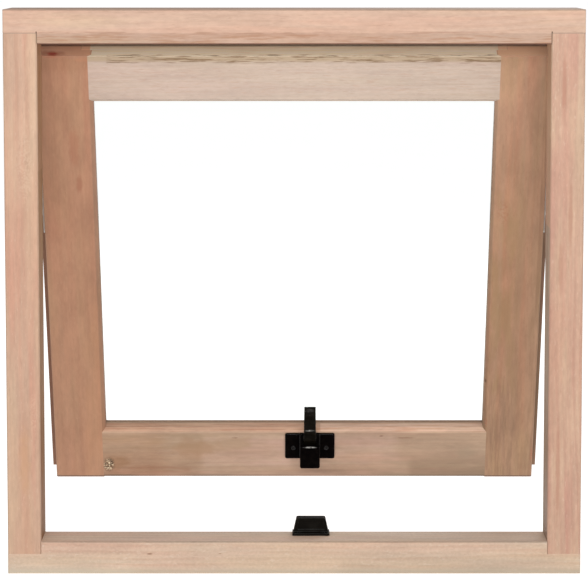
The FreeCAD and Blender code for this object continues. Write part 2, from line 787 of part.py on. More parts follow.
def make_keeper():
    """A base plate with a tapered box on it, open towards the sash."""
    place = ("catchOffset", STOP_Y + " - keeperDepth", "sillBoard + sillStop")
    keeper = body("keeper", place)
    base = sketch(keeper, "base", "XY_Plane")
    polygon(
        base,
        [
            ("-keeperWidth / 2", "0"),
            ("keeperWidth / 2", "0"),
            ("keeperWidth / 2", "keeperDepth"),
            ("-keeperWidth / 2", "keeperDepth"),
        ],
    )
    pad(keeper, base, "keeperBase")
    round_edges(
        keeper,
        "keeperCorner",
        lambda edge: along(edge, "z") and edge.CenterOfMass.y < value("keeperFlange"),
    )
    foot = "(keeperWidth / 2 - keeperStep)"
    front = sketch(keeper, "front", "XZ_Plane", "-keeperDepth")
    polygon(
        front,
        [
            ("-" + foot, "0"),
            (foot, "0"),
            ("keeperTopWidth / 2", "keeperHeight"),
            ("-keeperTopWidth / 2", "keeperHeight"),
        ],
    )
    pad(keeper, front, "keeperDepth - keeperFlange")
    round_edges(
        keeper,
        "keeperCorner",
        lambda edge: along(edge, "y") and edge.CenterOfMass.z > value("keeperHeight") - 0.01,
    )
    cup = sketch(keeper, "cup", "XZ_Plane", "-keeperDepth")
    polygon(
        cup,
        [
            ("-(%s - keeperWall)" % foot, "keeperBase"),
            ("%s - keeperWall" % foot, "keeperBase"),
            ("keeperTopWidth / 2 - keeperWall", "keeperHeight - keeperWall"),
            ("-(keeperTopWidth / 2 - keeperWall)", "keeperHeight - keeperWall"),
        ],
    )
    pocket(keeper, cup, "keeperDepth - keeperFlange - keeperWall", centred=False, backwards=True)
    panel = sketch(keeper, "panel", "XZ_Plane", "-keeperFlange")
    polygon(
        panel,
        [
            ("-(%s - 2 * keeperWall)" % foot, "2 * keeperBase"),
            ("%s - 2 * keeperWall" % foot, "2 * keeperBase"),
            ("keeperTopWidth / 2 - keeperWall", "keeperHeight - keeperWall"),
            ("-(keeperTopWidth / 2 - keeperWall)", "keeperHeight - keeperWall"),
        ],
    )
    pocket(keeper, panel, "keeperPanel", centred=False)


make_head()
make_sill()
for jamb_name, jamb_sign in (("left_jamb", -1), ("right_jamb", 1)):
    make_jamb(jamb_name, jamb_sign)
for stile_name, stile_sign in (("left_stile", -1), ("right_stile", 1)):
    make_stile(stile_name, stile_sign)
make_top_rail()
make_bottom_rail()
make_glass()
make_beads()
for stay_side, stay_sign in (("left", -1), ("right", 1)):
    make_track(stay_side + "_track", stay_sign)
    make_arm(stay_side + "_arm", stay_sign)
    make_sash_bar(stay_side + "_sash_bar", stay_sign)
    make_shoe(stay_side + "_shoe", stay_sign)
make_catch()
make_lever()
make_keeper()

doc.recompute()
for item in doc.Objects:
    if "Invalid" in item.State or "Error" in item.State:
        raise RuntimeError("%s failed: %s" % (item.Name, item.State))
for item in parts:
    if item.Shape.isNull() or not item.Shape.isValid() or len(item.Shape.Solids) != 1:
        raise RuntimeError(item.Label + " is not one valid solid")

os.makedirs("parts", exist_ok=True)
for item in parts:
    item.Shape.exportStep("parts/%s.step" % item.Label)
print("%d pieces" % len(parts))
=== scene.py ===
import math

import bmesh
import bpy
from mathutils import Matrix, Vector


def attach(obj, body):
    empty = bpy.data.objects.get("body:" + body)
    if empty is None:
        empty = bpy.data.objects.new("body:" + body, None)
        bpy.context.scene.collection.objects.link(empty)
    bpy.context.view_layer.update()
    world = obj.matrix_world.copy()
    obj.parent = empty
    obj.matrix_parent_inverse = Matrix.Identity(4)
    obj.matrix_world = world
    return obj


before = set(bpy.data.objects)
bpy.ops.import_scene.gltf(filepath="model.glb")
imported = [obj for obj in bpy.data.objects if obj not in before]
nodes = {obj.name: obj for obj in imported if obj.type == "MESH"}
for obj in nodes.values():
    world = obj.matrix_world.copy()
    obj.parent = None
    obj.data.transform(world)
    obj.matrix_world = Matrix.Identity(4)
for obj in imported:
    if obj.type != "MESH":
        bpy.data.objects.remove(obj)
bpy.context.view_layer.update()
print("window loaded with", len(nodes), "pieces")


# camera, floor and light

cameraView = {
    "place": (-0.0002, -2.9415, 0.6584),
    "tiltDown": 5.752,  # degrees
    "lens": 168.94,
    "sensor": 36,
    "shiftUp": -0.10,
    "farthest": 60,
}

cameraData = bpy.data.cameras.new("studioCamera")
cameraData.lens = cameraView["lens"]
cameraData.sensor_width = cameraView["sensor"]
cameraData.shift_y = cameraView["shiftUp"]
cameraData.clip_end = cameraView["farthest"]
camera = bpy.data.objects.new("studioCamera", cameraData)
camera.location = cameraView["place"]
camera.rotation_euler = (math.radians(90 - cameraView["tiltDown"]), 0, 0)
bpy.context.scene.collection.objects.link(camera)
bpy.context.scene.camera = camera
bpy.context.scene.view_settings.view_transform = "Standard"
print("camera set")


def plug(tree, socket, val):
    # another node's output is linked, a plain value is set on the socket
    if isinstance(val, bpy.types.NodeSocket):
        tree.links.new(val, socket)
    elif socket.type == "RGBA" and len(val) == 3:
        socket.default_value = (*val, 1.0)
    else:
        socket.default_value = val


def calc(tree, operation, first, second=0.0, clamp=False):
    node = tree.nodes.new("ShaderNodeMath")
    node.operation = operation
    node.use_clamp = clamp
    plug(tree, node.inputs[0], first)
    plug(tree, node.inputs[1], second)
    return node.outputs[0]


def vectorCalc(tree, operation, first, second, output="Vector"):
    node = tree.nodes.new("ShaderNodeVectorMath")
    node.operation = operation
    plug(tree, node.inputs[0], first)
    plug(tree, node.inputs[1], second)
    return node.outputs[output]


def mixColour(tree, factor, base, top, blend="MIX"):
    node = tree.nodes.new("ShaderNodeMix")
    node.data_type = "RGBA"
    node.blend_type = blend
    plug(tree, node.inputs[0], factor)
    plug(tree, node.inputs[6], base)
    plug(tree, node.inputs[7], top)
    return node.outputs[2]


def fade(tree, val, start, end, low=0.0, high=1.0):
    # low below start, high above end, and a smooth change between
    node = tree.nodes.new("ShaderNodeMapRange")
    node.interpolation_type = "SMOOTHSTEP"
    limits = {"From Min": start, "From Max": end, "To Min": low, "To Max": high}
    for socketName, number in limits.items():
        node.inputs[socketName].default_value = number
    plug(tree, node.inputs["Value"], val)
    return node.outputs["Result"]


def noise(tree, space, scale, seed=0.0, detail=3.0, roughness=0.5):
    # scale is cells per metre, one number or one for each axis
    cells = (scale, scale, scale) if isinstance(scale, (int, float)) else scale
    stretch = tree.nodes.new("ShaderNodeMapping")
    stretch.inputs["Scale"].default_value = cells
    stretch.inputs["Location"].default_value = (seed * 3.7, seed * 1.9 + 5, seed * 2.3 - 4)
    tree.links.new(space, stretch.inputs["Vector"])
    node = tree.nodes.new("ShaderNodeTexNoise")
    node.inputs["Scale"].default_value = 1.0
    node.inputs["Detail"].default_value = detail
    node.inputs["Roughness"].default_value = roughness
    tree.links.new(stretch.outputs["Vector"], node.inputs["Vector"])
    return node.outputs["Fac"]


def rgb(red, green, blue):
    # a colour as a picture shows it, 0 to 255, turned into light
    shares = [number / 255 for number in (red, green, blue)]
    return tuple(((s + 0.055) / 1.055) ** 2.4 if s > 0.04 else s / 12.92 for s in shares)


def newMaterial(name):
    material = bpy.data.materials.new(name)
    material.use_nodes = True
    return material, material.node_tree, material.node_tree.nodes["Principled BSDF"]


def dress(name, material):
    mesh = nodes[name].data
    mesh.materials.clear()
    mesh.materials.append(material)


floorLook = {
    "size": 40.0,
    "colour": rgb(240, 239, 236),
    "mottle": rgb(246, 246, 245),
    "roughness": 0.85,
    "glow": 0.68,
    "drop": 0.0005,  # below the sill, so that the two never share a plane
}


def makeFloor(look):
    material, tree, shader = newMaterial("paleFloor")
    space = tree.nodes.new("ShaderNodeTexCoord").outputs["Object"]
    cloud = noise(tree, space, 3.0, seed=1.0, detail=4.0)
    tree.links.new(mixColour(tree, cloud, look["colour"], look["mottle"]), shader.inputs["Base Color"])
    shader.inputs["Roughness"].default_value = look["roughness"]
    shader.inputs["Emission Color"].default_value = (1, 1, 1, 1)
    shader.inputs["Emission Strength"].default_value = look["glow"]
    half = look["size"] / 2
    corners = [(-half, -half, 0), (half, -half, 0), (half, half, 0), (-half, half, 0)]
    mesh = bpy.data.meshes.new("floor")
    mesh.from_pydata(corners, [], [(0, 1, 2, 3)])
    mesh.materials.append(material)
    floor = bpy.data.objects.new("floor", mesh)
    floor.location.z = -look["drop"]
    bpy.context.scene.collection.objects.link(floor)


makeFloor(floorLook)

lightLook = {
    "sky": 0.38,
    "backdrop": 1.02,
    "softboxes": [
        # name, place, aims at, width, height, watts
        ("keySoftbox", (-0.4, -3.0, 1.66), (0, 0, 0.4), 1.1, 0.40, 18),
        ("lowSoftbox", (0.3, -2.9, 0.85), (0, 0, 0.3), 2.2, 0.8, 34),
        ("glintLamp", (0.0, -1.7, 1.7), (0.02, 0.15, 0.1), 0.06, 0.06, 1.6),
        ("backSoftbox", (0.9, 2.9, 1.8), (0, 0, 0.3), 1.6, 1.0, 26),
    ],
}


def lightStudio(look):
    world = bpy.data.worlds.new("studioWorld")
    world.use_nodes = True
    tree = world.node_tree
    tree.nodes.clear()
    seen = tree.nodes.new("ShaderNodeLightPath").outputs["Is Camera Ray"]
    sky = tree.nodes.new("ShaderNodeBackground")
    sky.inputs["Strength"].default_value = look["sky"]
    sky.inputs["Color"].default_value = (1, 1, 1, 1)
    backdrop = tree.nodes.new("ShaderNodeBackground")
    backdrop.inputs["Strength"].default_value = look["backdrop"]
    backdrop.inputs["Color"].default_value = (1, 1, 1, 1)
    mix = tree.nodes.new("ShaderNodeMixShader")
    tree.links.new(seen, mix.inputs[0])
    tree.links.new(sky.outputs[0], mix.inputs[1])
    tree.links.new(backdrop.outputs[0], mix.inputs[2])
    tree.links.new(mix.outputs[0], tree.nodes.new("ShaderNodeOutputWorld").inputs["Surface"])
    bpy.context.scene.world = world
    for name, place, target, width, height, watts in look["softboxes"]:
        data = bpy.data.lights.new(name, "AREA")
        data.shape = "RECTANGLE"
        data.size, data.size_y, data.energy = width, height, watts
        lamp = bpy.data.objects.new(name, data)
        lamp.location = place
        lamp.rotation_euler = (Vector(target) - Vector(place)).to_track_quat("-Z", "Y").to_euler()
        bpy.context.scene.collection.objects.link(lamp)


lightStudio(lightLook)
print("floor and light set")


# bare timber: every member is cut from its own piece of a log

sashSeat = {
    "tilt": math.radians(23),
    "pivot": Vector((0, 0.0209, 0.5484909)),
}
toSash = Matrix.Rotation(-sashSeat["tilt"], 4, "X") @ Matrix.Translation(-sashSeat["pivot"])
fromSash = toSash.inverted()


def pieceSpace(tree, onSash):
    # the window's own axes, or the sash's, which lean with it
    space = tree.nodes.new("ShaderNodeTexCoord").outputs["Object"]
    if not onSash:
        return space
    turn = tree.nodes.new("ShaderNodeVectorRotate")
    turn.rotation_type = "X_AXIS"
    turn.inputs["Center"].default_value = sashSeat["pivot"]
    turn.inputs["Angle"].default_value = -sashSeat["tilt"]
    tree.links.new(space, turn.inputs["Vector"])
    return vectorCalc(tree, "SUBTRACT", turn.outputs["Vector"], sashSeat["pivot"])


def grainSpace(tree, space, grain):
    # the third axis runs along the fibres
    parts = tree.nodes.new("ShaderNodeSeparateXYZ")
    tree.links.new(space, parts.inputs[0])
    order = {"up": "XYZ", "across": "ZYX"}[grain]
    joined = tree.nodes.new("ShaderNodeCombineXYZ")
    for target, source in zip("XYZ", order):
        tree.links.new(parts.outputs[source], joined.inputs[target])
    return joined.outputs[0]


def memberBox(name, onSash, grain):
    turn = toSash if onSash else Matrix.Identity(4)
    order = {"up": (0, 1, 2), "across": (2, 1, 0)}[grain]
    points = [turn @ vertex.co for vertex in nodes[name].data.vertices]
    return [(min(p[axis] for p in points), max(p[axis] for p in points)) for axis in order]


def nearFaces(tree, grained, limits, width):
    # for each axis, 1 on the member's outer faces and 0 further in than width
    parts = tree.nodes.new("ShaderNodeSeparateXYZ")
    tree.links.new(grained, parts.inputs[0])
    found = []
    for axis, (low, high) in zip("XYZ", limits):
        fromLow = calc(tree, "SUBTRACT", parts.outputs[axis], low)
        fromHigh = calc(tree, "SUBTRACT", high, parts.outputs[axis])
        found.append(fade(tree, calc(tree, "MINIMUM", fromLow, fromHigh), 0.0, width, 1.0, 0.0))
    return found


def blotch(tree, space, spot, seed):
    # a stain, knot or streak: an egg round a point, with a ragged edge
    offset = vectorCalc(tree, "SUBTRACT", space, spot["at"])
    scaled = vectorCalc(tree, "DIVIDE", offset, spot["size"])
    distance = vectorCalc(tree, "LENGTH", scaled, (0, 0, 0), "Value")
    rag = noise(tree, space, spot.get("ragScale", 90), seed, 3.0, 0.6)
    rag = calc(tree, "MULTIPLY", calc(tree, "SUBTRACT", rag, 0.5), spot.get("ragged", 0.8))
    mask = fade(tree, calc(tree, "ADD", distance, rag), 0.35, 1.0, spot["strength"], 0.0)
    if "speckle" in spot:
        grit = noise(tree, space, spot["speckle"], seed + 2, 2.0, 0.6)
        mask = calc(tree, "MULTIPLY", mask, fade(tree, grit, 0.46, 0.58))
    return mask


wobbleScale = (16, 60, 60)


def patchMask(tree, space, patch, seed):
    # a soft sided block of the member, or streaks inside it
    parts = tree.nodes.new("ShaderNodeSeparateXYZ")
    tree.links.new(space, parts.inputs[0])
    soft = patch["soft"]
    mask = patch["strength"]
    for axis, low, high in zip("XYZ", patch["low"], patch["high"]):
        place = parts.outputs[axis]
        if "wobble" in patch:
            drift = calc(tree, "SUBTRACT", noise(tree, space, wobbleScale, seed), 0.5)
            place = calc(tree, "ADD", place, calc(tree, "MULTIPLY", drift, patch["wobble"]))
        mask = calc(tree, "MULTIPLY", mask, fade(tree, place, low - soft, low + soft))
        mask = calc(tree, "MULTIPLY", mask, fade(tree, place, high - soft, high + soft, 1.0, 0.0))
    if "streaks" in patch:
        streak = noise(tree, space, patch["streaks"], seed + 1, 3.0, 0.6)
        mask = calc(tree, "MULTIPLY", mask, fade(tree, streak, *patch["ramp"]))
    return mask


# Places are metres in the frame's own axes. On the sash they start at its shoe pivot and lean with it:
# across, then outdoors, then up the sash.

def toned(low, high, tone, soft, **more):
    # a block between two corners, made lighter or darker by tone, with edges soft metres wide
    return {"low": low, "high": high, "tone": tone, "strength": 1.0, "soft": soft, **more}


def painted(low, high, colour, strength, soft, **more):
    # the same block, mixed with a colour of its own; ramp is where its streaks begin and are full
    return {"low": low, "high": high, "colour": rgb(*colour), "strength": strength, "soft": soft, **more}


def mark(at, size, colour, strength, **more):
    # a blotch round a point
    return {"at": at, "size": size, "colour": rgb(*colour), "strength": strength, **more}


grainScales = {
    # cells per metre, twice across the fibres and then along them
    "wander": (9, 9, 2.2),
    "gapDrift": (60, 60, 4),
    "ringFade": (34, 34, 4),
    "straw": (46, 46, 5),
    "fibre": (430, 430, 13),
    "broadFibre": (150, 150, 5),
    "pore": (820, 820, 75),
    "roughness": (55, 55, 9),
}

planedFace = {
    "arrisWidth": 0.0016,
    "jointWidth": 0.0007,
    "smoothest": 0.56,
    "roughest": 0.72,
    "shine": 0.3,
    "relief": 0.35,
    "reliefDepth": 0.00025,
}


def timberMaterial(name, member, look, onSash, grain):
    material, tree, shader = newMaterial(name)
    seed = look["seed"]
    space = pieceSpace(tree, onSash)
    grained = grainSpace(tree, space, grain)

    def grainNoise(scaleName, shift, detail=3.0, roughness=0.5):
        return noise(tree, grained, grainScales[scaleName], seed + shift, detail, roughness)

    def times(first, second):
        return calc(tree, "MULTIPLY", first, second)

    # growth rings round a heart outside the member
    heart = vectorCalc(tree, "SUBTRACT", grained, (look["heart"][0], look["heart"][1], 0))
    flat = vectorCalc(tree, "MULTIPLY", heart, (1, 1, 0))
    radius = vectorCalc(tree, "LENGTH", flat, (0, 0, 0), "Value")
    radius = calc(tree, "ADD", radius, times(grainNoise("wander", 0, 2.0), look["wander"]))
    gapDrift = times(grainNoise("gapDrift", 5, 2.0), 0.9)
    turns = calc(tree, "ADD", calc(tree, "DIVIDE", radius, look["ringGap"]), gapDrift)
    phase = calc(tree, "FRACT", turns)
    lateWood = times(fade(tree, phase, 0.25, 0.86), fade(tree, phase, 0.9, 1.0, 1.0, 0.0))
    ringFade = fade(tree, grainNoise("ringFade", 7), 0.36, 0.64, 0.15, 1.0)
    colour = mixColour(tree, times(times(lateWood, ringFade), look["ringDepth"]), look["pale"], look["late"])

    # broad pink and straw shades along the board
    pink = noise(tree, grained, look["bands"], seed + 11, 3.0, 0.55)
    colour = mixColour(tree, fade(tree, pink, 0.42, 0.66, 0.0, look["blushDepth"]), colour, look["blush"])
    straw = grainNoise("straw", 17, 3.0, 0.55)
    colour = mixColour(tree, fade(tree, straw, 0.44, 0.66, 0.0, look["strawDepth"]), colour, look["straw"])

    # fibres, with broad clouds and short waves across them
    fibre = grainNoise("fibre", 23, 3.0, 0.62)
    broadFibre = grainNoise("broadFibre", 29, 2.0)
    fineTone = fade(tree, fibre, 0.3, 0.7, -1.0, 1.0)
    broadTone = fade(tree, broadFibre, 0.3, 0.7, -0.8, 0.8)
    fibreGain = calc(tree, "ADD", 1.0, times(calc(tree, "ADD", fineTone, broadTone), look["fibreDepth"]))
    cloudy = noise(tree, grained, look["clouds"], seed + 19, 4.0, 0.58)
    wavy = noise(tree, grained, look["waves"], seed + 21, 3.0, 0.55)
    cloudTone = times(fade(tree, cloudy, 0.28, 0.72, -1.0, 1.0), look["cloudDepth"])
    waveTone = times(fade(tree, wavy, 0.3, 0.7, -1.0, 1.0), look["waveDepth"])
    fibreGain = times(fibreGain, calc(tree, "ADD", 1.0, calc(tree, "ADD", cloudTone, waveTone)))
    fibreColour = tree.nodes.new("ShaderNodeCombineColor")
    for channel in range(3):
        tree.links.new(fibreGain, fibreColour.inputs[channel])
    colour = mixColour(tree, 1.0, colour, fibreColour.outputs[0], "MULTIPLY")

    # pores and short bright flecks
    poreMask = fade(tree, grainNoise("pore", 31, 2.0, 0.55), 0.60, 0.72, 0.0, look["poreDepth"])
    colour = mixColour(tree, poreMask, colour, look["pore"])
    fleck = noise(tree, grained, look["flecks"], seed + 37, 2.0, 0.55)
    colour = mixColour(tree, fade(tree, fleck, 0.60, 0.70, 0.0, look["fleckDepth"]), colour, look["fleck"])

    for index, patch in enumerate(look["patches"]):
        mask = patchMask(tree, space, patch, seed + 61 + index)
        if "tone" in patch:
            colour = mixColour(tree, mask, colour, patch["tone"], "MULTIPLY")
        else:
            colour = mixColour(tree, mask, colour, patch["colour"])
    for index, spot in enumerate(look["marks"]):
        colour = mixColour(tree, blotch(tree, space, spot, seed + 41 + index), colour, spot["colour"])

    # arrises are a little grey, and a joint shows as a thin dark line
    limits = memberBox(member, onSash, grain)
    wide = nearFaces(tree, grained, limits, planedFace["arrisWidth"])
    edges = calc(tree, "ADD", calc(tree, "ADD", wide[0], wide[1]), wide[2])
    arris = calc(tree, "SUBTRACT", edges, 1.0, True)
    colour = mixColour(tree, times(arris, look["arrisDepth"]), colour, look["arris"])
    ends = nearFaces(tree, grained, limits, planedFace["jointWidth"])[2]
    colour = mixColour(tree, times(ends, look["jointDepth"]), colour, look["joint"])
    tree.links.new(colour, shader.inputs["Base Color"])

    rough = fade(tree, grainNoise("roughness", 43), 0.3, 0.7, planedFace["smoothest"], planedFace["roughest"])
    tree.links.new(rough, shader.inputs["Roughness"])
    shader.inputs["Specular IOR Level"].default_value = planedFace["shine"]
    height = calc(tree, "ADD", times(fibre, 0.7), times(lateWood, 0.25))
    height = calc(tree, "SUBTRACT", height, times(poreMask, 0.6))
    bump = tree.nodes.new("ShaderNodeBump")
    bump.inputs["Strength"].default_value = planedFace["relief"]
    bump.inputs["Distance"].default_value = planedFace["reliefDepth"]
    tree.links.new(height, bump.inputs["Height"])
    tree.links.new(bump.outputs["Normal"], shader.inputs["Normal"])
    return material


def cutTimber(member, look, onSash, grain):
    dress(member, timberMaterial(member + "Timber", member, look, onSash, grain))


plainPine = {
    "pale": rgb(191, 163, 142),
    "late": rgb(172, 137, 115),
    "blush": rgb(189, 148, 129),
    "straw": rgb(192, 166, 138),
    "pore": rgb(137, 101, 80),
    "fleck": rgb(205, 181, 162),
    "arris": rgb(156, 142, 126),
    "joint": rgb(84, 54, 36),
    "ringGap": 0.0050,
    "ringDepth": 0.42,
    "wander": 0.022,
    "blushDepth": 0.45,
    "strawDepth": 0.40,
    "bands": (38, 38, 2.6),
    "fibreDepth": 0.032,
    "clouds": (46, 46, 12),
    "cloudDepth": 0.05,
    "waves": (300, 300, 110),
    "waveDepth": 0.035,
    "poreDepth": 0.20,
    "flecks": (620, 620, 150),
    "fleckDepth": 0.22,
    "arrisDepth": 0.55,
    "jointDepth": 0.65,
    "heart": (0.09, 0.12),
    "seed": 1.0,
    "patches": [],
    "marks": [],
}

headTimber = {
    **plainPine,
    "pale": rgb(192, 161, 141),
    "late": rgb(180, 144, 122),
    "blush": rgb(194, 151, 130),
    "waveDepth": 0.045,
    "seed": 3.0,
    "heart": (0.47, 0.06),
    "jointDepth": 0.0,
    "patches": [
        # the planted stop is a shade darker, with a worn line where it meets the head
        toned((-0.30, -0.06, 0.50), (0.30, 0.10, 0.5752), (0.84, 0.83, 0.82), 0.0007),
        painted((-0.27, -0.06, 0.5738), (0.27, 0.0, 0.5766), (150, 112, 88), 0.6, 0.0006,
                streaks=(26, 60, 300), ramp=(0.46, 0.62)),
        painted((-0.30, -0.06, 0.5590), (0.30, 0.0, 0.5735), (158, 116, 88), 0.7, 0.001,
                streaks=(34, 60, 620), ramp=(0.48, 0.64)),
        # a painted shadow line on its lower arris, where the gap under the stop falls dark, and its dark
        # joints with the jambs
        painted((-0.2700, -0.06, 0.5600), (0.2700, -0.0485, 0.5647), (90, 38, 6), 0.95, 0.0003),
        painted((-0.2704, -0.06, 0.55), (-0.2692, -0.03, 0.577), (60, 36, 22), 0.9, 0.0003),
        painted((0.2692, -0.06, 0.55), (0.2704, -0.03, 0.577), (60, 36, 22), 0.9, 0.0003),
    ],
}
cutTimber("head", headTimber, False, "across")

sillTimber = {
    **plainPine,
    "pale": rgb(186, 164, 144),
    "fleck": rgb(205, 188, 170),
    "flecks": (420, 420, 160),
    "fleckDepth": 0.32,
    "waves": (400, 400, 300),
    "waveDepth": 0.055,
    "cloudDepth": 0.07,
    "seed": 8.0,
    "heart": (-0.10, 0.05),
    "jointDepth": 0.0,
    "patches": [
        # a greyer lower edge, a top made lighter as painted light, then the shades of its two ends
        painted((-0.31, -0.06, -0.01), (0.31, -0.04, 0.0050), (172, 160, 142), 0.7, 0.003),
        toned((-0.31, -0.046, 0.0300), (0.31, 0.06, 0.08), (1.43, 1.48, 1.56), 0.0006),
        toned((-0.31, -0.06, -0.01), (-0.17, -0.04, 0.0150), (1.06, 1.09, 1.10), 0.01),
        toned((0.05, -0.06, -0.01), (0.31, -0.04, 0.0150), (0.93, 0.93, 0.92), 0.01),
    ],
    "marks": [
        mark((-0.1539, -0.05, 0.0215), (0.0035, 0.004, 0.0011), (120, 84, 60), 0.75),
        mark((-0.0789, -0.05, 0.0218), (0.0022, 0.004, 0.0009), (132, 96, 72), 0.6),
    ],
}
cutTimber("sill", sillTimber, False, "across")

leftJambTimber = {
    **plainPine,
    "pale": rgb(182, 149, 127),
    "late": rgb(169, 126, 104),
    "blush": rgb(182, 133, 112),
    "blushDepth": 0.7,
    "bands": (70, 70, 3.5),
    "seed": 13.0,
    "heart": (-0.24, 0.06),
    "patches": [
        # the inner face darkened as painted shade, as it faces away from the light, a redder foot, and both
        # lighter at the top
        toned((-0.2712, -0.046, 0.0), (-0.25, 0.06, 0.60), (0.60, 0.49, 0.31), 0.0004),
        toned((-0.31, -0.06, -0.02), (-0.25, 0.06, 0.18), (0.98, 0.94, 0.92), 0.08),
        toned((-0.2850, -0.06, 0.47), (-0.25, -0.04, 0.60), (1.09, 1.08, 1.08), 0.012),
        toned((-0.2697, -0.0485, 0.43), (-0.25, 0.06, 0.60), (1.24, 1.27, 1.50), 0.0005),
    ],
    "marks": [
        mark((-0.2863, -0.05, 0.1210), (0.008, 0.01, 0.045), (184, 143, 106), 0.45, ragged=1.2),
        mark((-0.2832, -0.05, 0.4370), (0.011, 0.01, 0.055), (200, 172, 148), 0.32, speckle=420),
        mark((-0.2765, -0.05, 0.1710), (0.005, 0.01, 0.030), (200, 166, 142), 0.3, speckle=420),
    ],
}
cutTimber("left_jamb", leftJambTimber, False, "up")

rightJambTimber = {
    **plainPine,
    "pale": rgb(180, 145, 124),
    "late": rgb(166, 121, 103),
    "blush": rgb(175, 121, 106),
    "blushDepth": 0.42,
    "bands": (105, 105, 3.2),
    "waveDepth": 0.045,
    "seed": 21.0,
    "heart": (0.40, 0.05),
    "patches": [
        # the inner face, darker low down as painted shade, and the front, in shades that change on the way up
        toned((0.25, -0.046, 0.0), (0.2712, 0.06, 0.60), (0.93, 1.00, 0.95), 0.0004),
        toned((0.25, -0.06, 0.45), (0.31, 0.06, 0.62), (1.03, 1.11, 1.12), 0.05),
        toned((0.25, -0.06, 0.46), (0.2860, -0.04, 0.62), (1.07, 1.12, 1.10), 0.012),
        toned((0.25, -0.06, 0.13), (0.2840, -0.04, 0.29), (0.95, 0.88, 0.88), 0.012),
        toned((0.25, -0.0485, 0.00), (0.2697, 0.06, 0.37), (0.79, 0.84, 0.87), 0.0005),
        toned((0.25, -0.0485, 0.37), (0.2697, 0.06, 0.60), (1.08, 0.96, 0.88), 0.0005),
    ],
    "marks": [
        mark((0.2832, -0.05, 0.5205), (0.0032, 0.01, 0.045), (162, 112, 92), 0.5),
        mark((0.2911, -0.05, 0.3787), (0.0030, 0.01, 0.050), (162, 112, 92), 0.5),
        mark((0.2811, -0.05, 0.3286), (0.0032, 0.01, 0.040), (164, 114, 94), 0.45),
        mark((0.2800, -0.05, 0.1100), (0.0030, 0.01, 0.075), (160, 110, 90), 0.5),
    ],
}
cutTimber("right_jamb", rightJambTimber, False, "up")
print("frame timber cut")


def stileTop(left, right, colour):
    # painted light on the top end in front, and painted shade behind it, under the head
    return [
        painted((left, -0.02, 0.00585), (right, 0.04, 0.01), colour, 0.95, 0.0001),
        painted((left, 0.0100, 0.0050), (right, 0.04, 0.01), (150, 100, 72), 0.5, 0.006),
        painted((left, 0.0125, 0.0056), (right, 0.04, 0.01), (44, 24, 12), 1.0, 0.0015),
    ]


leftStileTimber = {
    **plainPine,
    "pale": rgb(170, 127, 101),
    "late": rgb(153, 109, 85),
    "blush": rgb(165, 115, 91),
    "straw": rgb(168, 131, 101),
    "pore": rgb(131, 90, 66),
    "fleck": rgb(183, 143, 115),
    "arris": rgb(172, 126, 100),
    "joint": rgb(98, 62, 42),
    "ringDepth": 0.22,
    "jointDepth": 0.0,
    "poreDepth": 0.12,
    "fibreDepth": 0.022,
    "clouds": (75, 75, 24),
    "cloudDepth": 0.075,
    "seed": 34.0,
    "heart": (-0.29, 0.05),
    "patches": [
        *stileTop(-0.30, -0.20, (246, 200, 168)),
        # the edge by the glass and the lip, both darkened as painted shade, then straw streaks and shades
        # down the face
        toned((-0.2205, -0.02, -0.60), (-0.2160, 0.0, -0.02), (0.84, 0.90, 0.92), 0.0006),
        toned((-0.30, -0.02, -0.60), (-0.2752, 0.04, 0.01), (0.70, 0.72, 0.76), 0.0004),
        painted((-0.2420, -0.02, -0.54), (-0.2180, 0.0, -0.30), (190, 140, 104), 0.25, 0.006,
                streaks=(40, 40, 9), ramp=(0.42, 0.62)),
        toned((-0.30, -0.02, -0.0120), (-0.20, 0.0, 0.0058), (0.94, 0.92, 0.89), 0.006),
        painted((-0.28, -0.02, -0.54), (-0.20, 0.0, -0.5300), (104, 86, 76), 0.85, 0.0005),
        toned((-0.2480, -0.02, -0.3200), (-0.2180, 0.0, -0.1700), (0.92, 0.90, 0.90), 0.012),
        toned((-0.2740, -0.02, -0.4600), (-0.2400, 0.0, -0.2200), (1.09, 1.15, 1.15), 0.015),
    ],
    "marks": [
        mark((-0.2570, -0.0070, 0.0060), (0.0170, 0.0110, 0.0040), (168, 84, 62), 0.45, ragged=1.2),
        mark((-0.2590, -0.0070, 0.0060), (0.0085, 0.0070, 0.0030), (176, 66, 48), 0.85, ragged=1.1),
        mark((-0.2390, -0.0125, -0.105), (0.007, 0.01, 0.03), (160, 100, 76), 0.35, ragged=1.2),
        mark((-0.2350, -0.0125, -0.150), (0.005, 0.01, 0.014), (148, 94, 72), 0.55, ragged=1.2),
        mark((-0.2270, -0.0125, 0.0020), (0.011, 0.01, 0.0045), (192, 132, 100), 0.25, ragged=1.2),
    ],
}
cutTimber("left_stile", leftStileTimber, True, "up")

